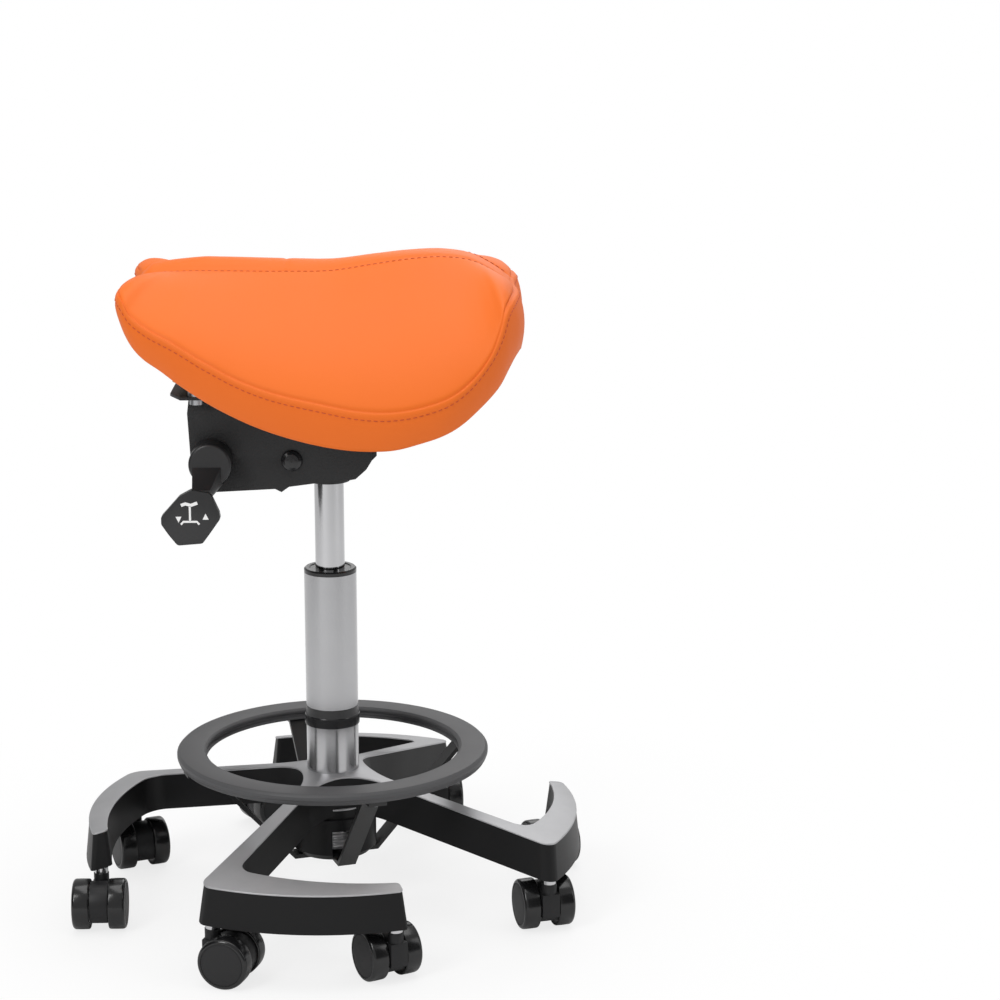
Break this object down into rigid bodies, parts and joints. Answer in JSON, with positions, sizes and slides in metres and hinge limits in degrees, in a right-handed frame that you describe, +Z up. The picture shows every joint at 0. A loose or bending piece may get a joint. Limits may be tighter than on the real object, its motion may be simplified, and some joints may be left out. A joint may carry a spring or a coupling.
{
  "type": "saddle stool",
  "caption": "Saddle stool with a split-lobed padded saddle seat that tilts, a gas lift, a foot ring and a hooked-arm cast base on twin-wheel castors.",
  "frame": {"origin": "on the floor, under the axis of the column", "axes": "+Z up; the seat length runs along X with its front towards -X; the tilt lever is on the -Y side"},
  "size_m": [0.4887, 0.494, 0.6407],
  "materials": {
    "casting": "brushed top, black painted sides",
    "steel": "satin",
    "chrome": "polished",
    "zinc": "cast",
    "black_metal": "fine textured powder coat",
    "black_plastic": "moulded",
    "wheel": "semi-gloss",
    "grey_plastic": "matte",
    "board": "stained plywood",
    "leatherette": "soft grained leatherette"
  },
  "bodies": {
    "base": {"base_casting": "casting", "castor_stems": "chrome", "hub_cup": "black_metal", "foot_ring": "grey_plastic", "foot_strut_1": "black_metal", "foot_strut_2": "black_metal", "foot_strut_3": "black_metal", "foot_strut_4": "black_metal", "ring_screws": "steel", "lift_outer_tube": "steel", "column_band": "black_plastic", "guide_bush": "black_plastic", "piston_rod": "chrome", "thrust_bearing": "steel", "base_clip": "steel"},
    "lift": {"gas_cylinder": "chrome"},
    "turret": {"inner_bracket": "zinc", "pivot_bolt": "black_metal"},
    "saddle": {"tilt_housing": "black_metal", "seat_plate": "black_metal", "seat_board": "board", "seat_cushion": "leatherette", "seat_bolts": "steel", "seat_spacers": "steel", "tilt_clamp_bolt": "steel"},
    "tilt_lever": {"tilt_lever": "black_plastic"},
    "height_lever": {"height_lever": "black_metal"},
    "valve": {"valve_button": "steel"},
    "castor_elbow_1": {"castor_elbow_1_housing": "black_plastic", "castor_elbow_1_axle": "steel"},
    "castor_elbow_1_wheel_a": {"castor_elbow_1_wheel_a": "wheel"},
    "castor_elbow_1_wheel_b": {"castor_elbow_1_wheel_b": "wheel"},
    "castor_tip_1": {"castor_tip_1_housing": "black_plastic", "castor_tip_1_axle": "steel"},
    "castor_tip_1_wheel_a": {"castor_tip_1_wheel_a": "wheel"},
    "castor_tip_1_wheel_b": {"castor_tip_1_wheel_b": "wheel"},
    "castor_elbow_2": {"castor_elbow_2_housing": "black_plastic", "castor_elbow_2_axle": "steel"},
    "castor_elbow_2_wheel_a": {"castor_elbow_2_wheel_a": "wheel"},
    "castor_elbow_2_wheel_b": {"castor_elbow_2_wheel_b": "wheel"},
    "castor_tip_2": {"castor_tip_2_housing": "black_plastic", "castor_tip_2_axle": "steel"},
    "castor_tip_2_wheel_a": {"castor_tip_2_wheel_a": "wheel"},
    "castor_tip_2_wheel_b": {"castor_tip_2_wheel_b": "wheel"},
    "castor_elbow_3": {"castor_elbow_3_housing": "black_plastic", "castor_elbow_3_axle": "steel"},
    "castor_elbow_3_wheel_a": {"castor_elbow_3_wheel_a": "wheel"},
    "castor_elbow_3_wheel_b": {"castor_elbow_3_wheel_b": "wheel"},
    "castor_tip_3": {"castor_tip_3_housing": "black_plastic", "castor_tip_3_axle": "steel"},
    "castor_tip_3_wheel_a": {"castor_tip_3_wheel_a": "wheel"},
    "castor_tip_3_wheel_b": {"castor_tip_3_wheel_b": "wheel"},
    "castor_elbow_4": {"castor_elbow_4_housing": "black_plastic", "castor_elbow_4_axle": "steel"},
    "castor_elbow_4_wheel_a": {"castor_elbow_4_wheel_a": "wheel"},
    "castor_elbow_4_wheel_b": {"castor_elbow_4_wheel_b": "wheel"},
    "castor_tip_4": {"castor_tip_4_housing": "black_plastic", "castor_tip_4_axle": "steel"},
    "castor_tip_4_wheel_a": {"castor_tip_4_wheel_a": "wheel"},
    "castor_tip_4_wheel_b": {"castor_tip_4_wheel_b": "wheel"}
  },
  "joints": [
    {"name": "lift_slide", "type": "slide", "parent": "base", "child": "lift", "axis": [0, 0, 1], "range_m": [-0.075, 0.06]},
    {"name": "seat_swivel", "type": "hinge", "parent": "lift", "child": "turret", "pos_m": [0, 0, 0.45], "axis": [0, 0, 1], "continuous": true},
    {"name": "seat_tilt", "type": "hinge", "parent": "turret", "child": "saddle", "pos_m": [-0.032, 0, 0.445], "axis": [0, 1, 0], "range_deg": [-15, 15]},
    {"name": "tilt_lever_turn", "type": "hinge", "parent": "saddle", "child": "tilt_lever", "pos_m": [-0.106, -0.06, 0.446], "axis": [0, 1, 0], "range_deg": [0, 60]},
    {"name": "height_lever_lift", "type": "hinge", "parent": "turret", "child": "height_lever", "pos_m": [0, 0.03, 0.476], "axis": [1, 0, 0], "range_deg": [0, 8], "stiffness_Nm_per_rad": 0.5, "springref_deg": -11.46},
    {"name": "valve_press", "type": "slide", "parent": "lift", "child": "valve", "axis": [0, 0, 1], "range_m": [-0.0045, 0], "stiffness_N_per_m": 300, "springref_m": 0.002},
    {"name": "castor_elbow_1_swivel", "type": "hinge", "parent": "base", "child": "castor_elbow_1", "pos_m": [0.10109, 0.20671, 0.04], "axis": [0, 0, 1], "continuous": true},
    {"name": "castor_elbow_1_spin_a", "type": "hinge", "parent": "castor_elbow_1", "child": "castor_elbow_1_wheel_a", "pos_m": [0.09801, 0.22414, 0.024], "axis": [-0.9848, -0.1736, 0], "continuous": true},
    {"name": "castor_elbow_1_spin_b", "type": "hinge", "parent": "castor_elbow_1", "child": "castor_elbow_1_wheel_b", "pos_m": [0.09801, 0.22414, 0.024], "axis": [-0.9848, -0.1736, 0], "continuous": true},
    {"name": "castor_tip_1_swivel", "type": "hinge", "parent": "base", "child": "castor_tip_1", "pos_m": [-0.06467, 0.21916, 0.04], "axis": [0, 0, 1], "continuous": true},
    {"name": "castor_tip_1_spin_a", "type": "hinge", "parent": "castor_tip_1", "child": "castor_tip_1_wheel_a", "pos_m": [-0.07917, 0.20901, 0.024], "axis": [0.5736, -0.8192, 0], "continuous": true},
    {"name": "castor_tip_1_spin_b", "type": "hinge", "parent": "castor_tip_1", "child": "castor_tip_1_wheel_b", "pos_m": [-0.07917, 0.20901, 0.024], "axis": [0.5736, -0.8192, 0], "continuous": true},
    {"name": "castor_elbow_2_swivel", "type": "hinge", "parent": "base", "child": "castor_elbow_2", "pos_m": [-0.20671, 0.10109, 0.04], "axis": [0, 0, 1], "continuous": true},
    {"name": "castor_elbow_2_spin_a", "type": "hinge", "parent": "castor_elbow_2", "child": "castor_elbow_2_wheel_a", "pos_m": [-0.19979, 0.08479, 0.024], "axis": [0.9205, 0.3907, 0], "continuous": true},
    {"name": "castor_elbow_2_spin_b", "type": "hinge", "parent": "castor_elbow_2", "child": "castor_elbow_2_wheel_b", "pos_m": [-0.19979, 0.08479, 0.024], "axis": [0.9205, 0.3907, 0], "continuous": true},
    {"name": "castor_tip_2_swivel", "type": "hinge", "parent": "base", "child": "castor_tip_2", "pos_m": [-0.21916, -0.06467, 0.04], "axis": [0, 0, 1], "continuous": true},
    {"name": "castor_tip_2_spin_a", "type": "hinge", "parent": "castor_tip_2", "child": "castor_tip_2_wheel_a", "pos_m": [-0.21885, -0.08236, 0.024], "axis": [0.9998, 0.0175, 0], "continuous": true},
    {"name": "castor_tip_2_spin_b", "type": "hinge", "parent": "castor_tip_2", "child": "castor_tip_2_wheel_b", "pos_m": [-0.21885, -0.08236, 0.024], "axis": [0.9998, 0.0175, 0], "continuous": true},
    {"name": "castor_elbow_3_swivel", "type": "hinge", "parent": "base", "child": "castor_elbow_3", "pos_m": [-0.10109, -0.20671, 0.04], "axis": [0, 0, 1], "continuous": true},
    {"name": "castor_elbow_3_spin_a", "type": "hinge", "parent": "castor_elbow_3", "child": "castor_elbow_3_wheel_a", "pos_m": [-0.08416, -0.21188, 0.024], "axis": [0.2924, 0.9563, 0], "continuous": true},
    {"name": "castor_elbow_3_spin_b", "type": "hinge", "parent": "castor_elbow_3", "child": "castor_elbow_3_wheel_b", "pos_m": [-0.08416, -0.21188, 0.024], "axis": [0.2924, 0.9563, 0], "continuous": true},
    {"name": "castor_tip_3_swivel", "type": "hinge", "parent": "base", "child": "castor_tip_3", "pos_m": [0.06467, -0.21916, 0.04], "axis": [0, 0, 1], "continuous": true},
    {"name": "castor_tip_3_spin_a", "type": "hinge", "parent": "castor_tip_3", "child": "castor_tip_3_wheel_a", "pos_m": [0.05609, -0.20368, 0.024], "axis": [-0.8746, -0.4848, 0], "continuous": true},
    {"name": "castor_tip_3_spin_b", "type": "hinge", "parent": "castor_tip_3", "child": "castor_tip_3_wheel_b", "pos_m": [0.05609, -0.20368, 0.024], "axis": [-0.8746, -0.4848, 0], "continuous": true},
    {"name": "castor_elbow_4_swivel", "type": "hinge", "parent": "base", "child": "castor_elbow_4", "pos_m": [0.20671, -0.10109, 0.04], "axis": [0, 0, 1], "continuous": true},
    {"name": "castor_elbow_4_spin_a", "type": "hinge", "parent": "castor_elbow_4", "child": "castor_elbow_4_wheel_a", "pos_m": [0.20183, -0.08407, 0.024], "axis": [-0.9613, -0.2756, 0], "continuous": true},
    {"name": "castor_elbow_4_spin_b", "type": "hinge", "parent": "castor_elbow_4", "child": "castor_elbow_4_wheel_b", "pos_m": [0.20183, -0.08407, 0.024], "axis": [-0.9613, -0.2756, 0], "continuous": true},
    {"name": "castor_tip_4_swivel", "type": "hinge", "parent": "base", "child": "castor_tip_4", "pos_m": [0.21916, 0.06467, 0.04], "axis": [0, 0, 1], "continuous": true},
    {"name": "castor_tip_4_spin_a", "type": "hinge", "parent": "castor_tip_4", "child": "castor_tip_4_wheel_a", "pos_m": [0.2131, 0.0813, 0.024], "axis": [-0.9397, -0.342, 0], "continuous": true},
    {"name": "castor_tip_4_spin_b", "type": "hinge", "parent": "castor_tip_4", "child": "castor_tip_4_wheel_b", "pos_m": [0.2131, 0.0813, 0.024], "axis": [-0.9397, -0.342, 0], "continuous": true}
  ],
  "couplings": [
    {"joint": "valve_press", "follows": "height_lever_lift", "m_per_rad": -0.0315}
  ]
}
